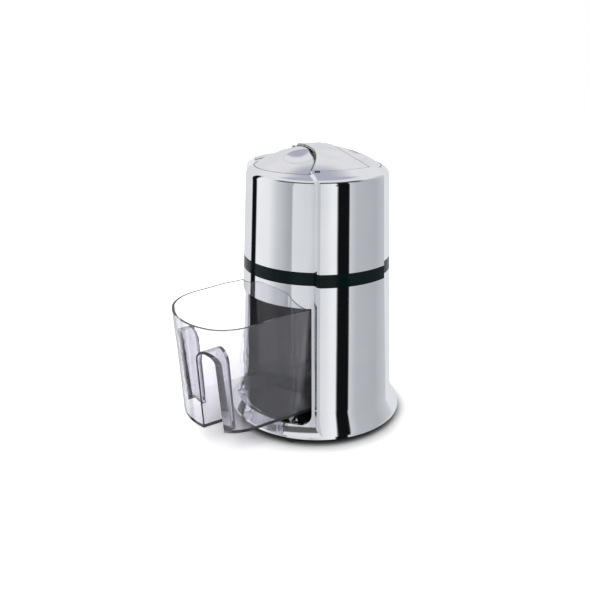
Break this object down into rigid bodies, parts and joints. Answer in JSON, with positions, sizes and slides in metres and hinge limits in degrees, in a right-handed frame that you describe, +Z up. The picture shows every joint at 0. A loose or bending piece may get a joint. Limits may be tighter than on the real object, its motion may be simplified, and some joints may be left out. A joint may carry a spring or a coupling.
{
  "type": "ice crusher",
  "caption": "Hand-cranked countertop ice crusher: round plated housing with raised side sashes, folding crank in a domed lid, toothed mill inside and a clear slide-out drawer.",
  "frame": {"origin": "on the body's axis, in the plane that the four feet stand on", "axes": "+Z up along the body's and the crank's axis; the drawer pulls out along -Y; +X to the right seen from the drawer's side"},
  "size_m": [0.1584, 0.2159, 0.2476],
  "materials": {
    "chrome": "bright plated plastic, smooth",
    "band_black": "glossy black",
    "clear_plastic": "clear moulded plastic with a faint violet edge",
    "dark_plastic": "dark grey moulded plastic",
    "steel": "stamped stainless steel",
    "bearing_plastic": "natural acetal",
    "knob_black": "black moulded plastic",
    "foot_rubber": "black rubber"
  },
  "bodies": {
    "housing": {"lower_housing": "chrome", "upper_housing": "chrome", "band_ring": "band_black", "drawer_deck": "chrome", "base_plate": "dark_plastic", "rubber_feet": "foot_rubber", "base_screws": "steel", "mill_body": "dark_plastic", "mill_screws": "steel", "lower_bush": "bearing_plastic", "fixed_blades": "steel", "hopper_liner": "dark_plastic"},
    "lid": {"lid_pan": "chrome", "lid_bush": "bearing_plastic"},
    "crank": {"crank_dome": "chrome", "drive_hub": "steel", "hub_screw": "steel", "hub_clip": "steel", "hinge_pin": "steel"},
    "arm": {"crank_arm": "chrome", "knob_spindle": "steel"},
    "knob": {"grip_knob": "knob_black"},
    "rotor": {"rotor_shaft": "steel", "lower_blade": "steel", "blade_spacer": "steel", "upper_blade": "steel", "blade_nut": "steel"},
    "drawer": {"ice_drawer": "clear_plastic"}
  },
  "joints": [
    {"name": "lid_lift", "type": "slide", "parent": "housing", "child": "lid", "axis": [0, 0, 1], "range_m": [0, 0.08]},
    {"name": "crank_spin", "type": "hinge", "parent": "lid", "child": "crank", "pos_m": [0, 0, 0.2145], "axis": [0, 0, 1], "continuous": true},
    {"name": "arm_fold", "type": "hinge", "parent": "crank", "child": "arm", "pos_m": [-0.01844, 0.0046, 0.241], "axis": [-0.2419, -0.9703, 0], "range_deg": [0, 176]},
    {"name": "knob_spin", "type": "hinge", "parent": "arm", "child": "knob", "pos_m": [0.02969, -0.0074, 0.2275], "axis": [0, 0, 1], "continuous": true},
    {"name": "rotor_spin", "type": "hinge", "parent": "housing", "child": "rotor", "pos_m": [0, 0, 0.1385], "axis": [0, 0, 1], "continuous": true},
    {"name": "drawer_slide", "type": "slide", "parent": "housing", "child": "drawer", "axis": [0, -1, 0], "range_m": [-0.068, 0.062]}
  ],
  "couplings": [
    {"joint": "rotor_spin", "follows": "crank_spin", "ratio": 1}
  ]
}
